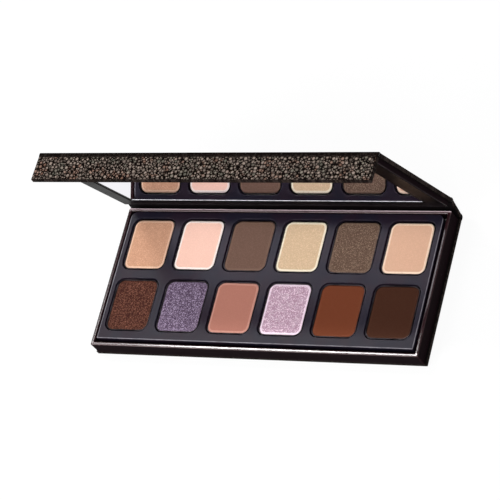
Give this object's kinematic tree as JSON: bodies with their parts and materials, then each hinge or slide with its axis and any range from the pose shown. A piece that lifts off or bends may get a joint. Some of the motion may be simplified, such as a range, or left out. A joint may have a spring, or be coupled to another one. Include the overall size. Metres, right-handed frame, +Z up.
{
  "type": "eyeshadow palette",
  "caption": "Book-style board palette with a folding mirror lid, a magnetic front flap and shallow rounded pans of pressed powder in a satin plate.",
  "frame": {"origin": "Centre of the closed case's underside, on the surface that it lies on.", "axes": "+X runs along the long side to the right, +Y to the back where the spine is, +Z up. The case stands open."},
  "size_m": [0.162, 0.0725, 0.0842],
  "materials": {
    "printed_paper": "satin pebble-grain printed paper",
    "grey_board": "raw grey board",
    "lining_paper": "matt black lining paper",
    "plum_wrap_paper": "semi-gloss dark plum paper",
    "gloss_black_paper": "gloss black paper",
    "satin_charcoal": "satin charcoal face",
    "pan_tin": "drawn aluminium",
    "clear_glue": "dried hot glue",
    "foam_tape": "double-sided foam tape",
    "mirror_glass": "silvered glass",
    "magnet_metal": "nickel-plated magnet",
    "catch_metal": "plain sheet steel",
    "powder_rear_1": "pressed powder, satin tan",
    "powder_rear_2": "pressed powder, pale pink",
    "powder_rear_3": "pressed powder, taupe brown",
    "powder_rear_4": "pressed powder, beige gold",
    "powder_rear_5": "pressed powder, olive brown",
    "powder_rear_6": "pressed powder, peach beige",
    "powder_front_1": "pressed powder, coppery brown glitter",
    "powder_front_2": "pressed powder, plum grey",
    "powder_front_3": "pressed powder, dusty rose",
    "powder_front_4": "pressed powder, lilac pink",
    "powder_front_5": "pressed powder, rust",
    "powder_front_6": "pressed powder, dark brown"
  },
  "bodies": {
    "base": {"base_board": "grey_board", "base_cover_paper": "printed_paper", "base_lining": "lining_paper", "base_spine_crease": "printed_paper", "catch_plates": "catch_metal", "glue_dots": "clear_glue", "insert_plate": "satin_charcoal", "pan_bed": "grey_board", "pan_front_1": "pan_tin", "pan_front_2": "pan_tin", "pan_front_3": "pan_tin", "pan_front_4": "pan_tin", "pan_front_5": "pan_tin", "pan_front_6": "pan_tin", "pan_rear_1": "pan_tin", "pan_rear_2": "pan_tin", "pan_rear_3": "pan_tin", "pan_rear_4": "pan_tin", "pan_rear_5": "pan_tin", "pan_rear_6": "pan_tin", "powder_front_1": "powder_front_1", "powder_front_2": "powder_front_2", "powder_front_3": "powder_front_3", "powder_front_4": "powder_front_4", "powder_front_5": "powder_front_5", "powder_front_6": "powder_front_6", "powder_rear_1": "powder_rear_1", "powder_rear_2": "powder_rear_2", "powder_rear_3": "powder_rear_3", "powder_rear_4": "powder_rear_4", "powder_rear_5": "powder_rear_5", "powder_rear_6": "powder_rear_6", "tray_back_wall": "grey_board", "tray_front_wall": "grey_board", "tray_left_wall": "grey_board", "tray_right_wall": "grey_board", "tray_wrap_paper": "plum_wrap_paper"},
    "spine": {"spine_board": "grey_board", "spine_cover_paper": "printed_paper", "spine_lid_crease": "printed_paper", "spine_lining": "lining_paper"},
    "lid": {"lid_board": "grey_board", "lid_cover_paper": "printed_paper", "lid_flap_crease": "printed_paper", "lid_frame": "grey_board", "lid_frame_paper": "gloss_black_paper", "lid_lining": "lining_paper", "mirror": "mirror_glass", "mirror_tape": "foam_tape"},
    "flap": {"flap_board": "grey_board", "flap_cover_paper": "printed_paper", "flap_lining": "lining_paper", "flap_magnets": "magnet_metal"}
  },
  "joints": [
    {"name": "spine_fold", "type": "hinge", "parent": "base", "child": "spine", "pos_m": [0, 0.03445, 0.00095], "axis": [1, 0, 0], "range_deg": [-82.2, 7.8]},
    {"name": "lid_fold", "type": "hinge", "parent": "spine", "child": "lid", "pos_m": [0, 0.03612, 0.01314], "axis": [1, 0, 0], "range_deg": [-21.3, 68.7]},
    {"name": "flap_fold", "type": "hinge", "parent": "lid", "child": "flap", "pos_m": [0, 0.01945, 0.08256], "axis": [1, 0, 0], "range_deg": [-73.4, 16.6]}
  ]
}
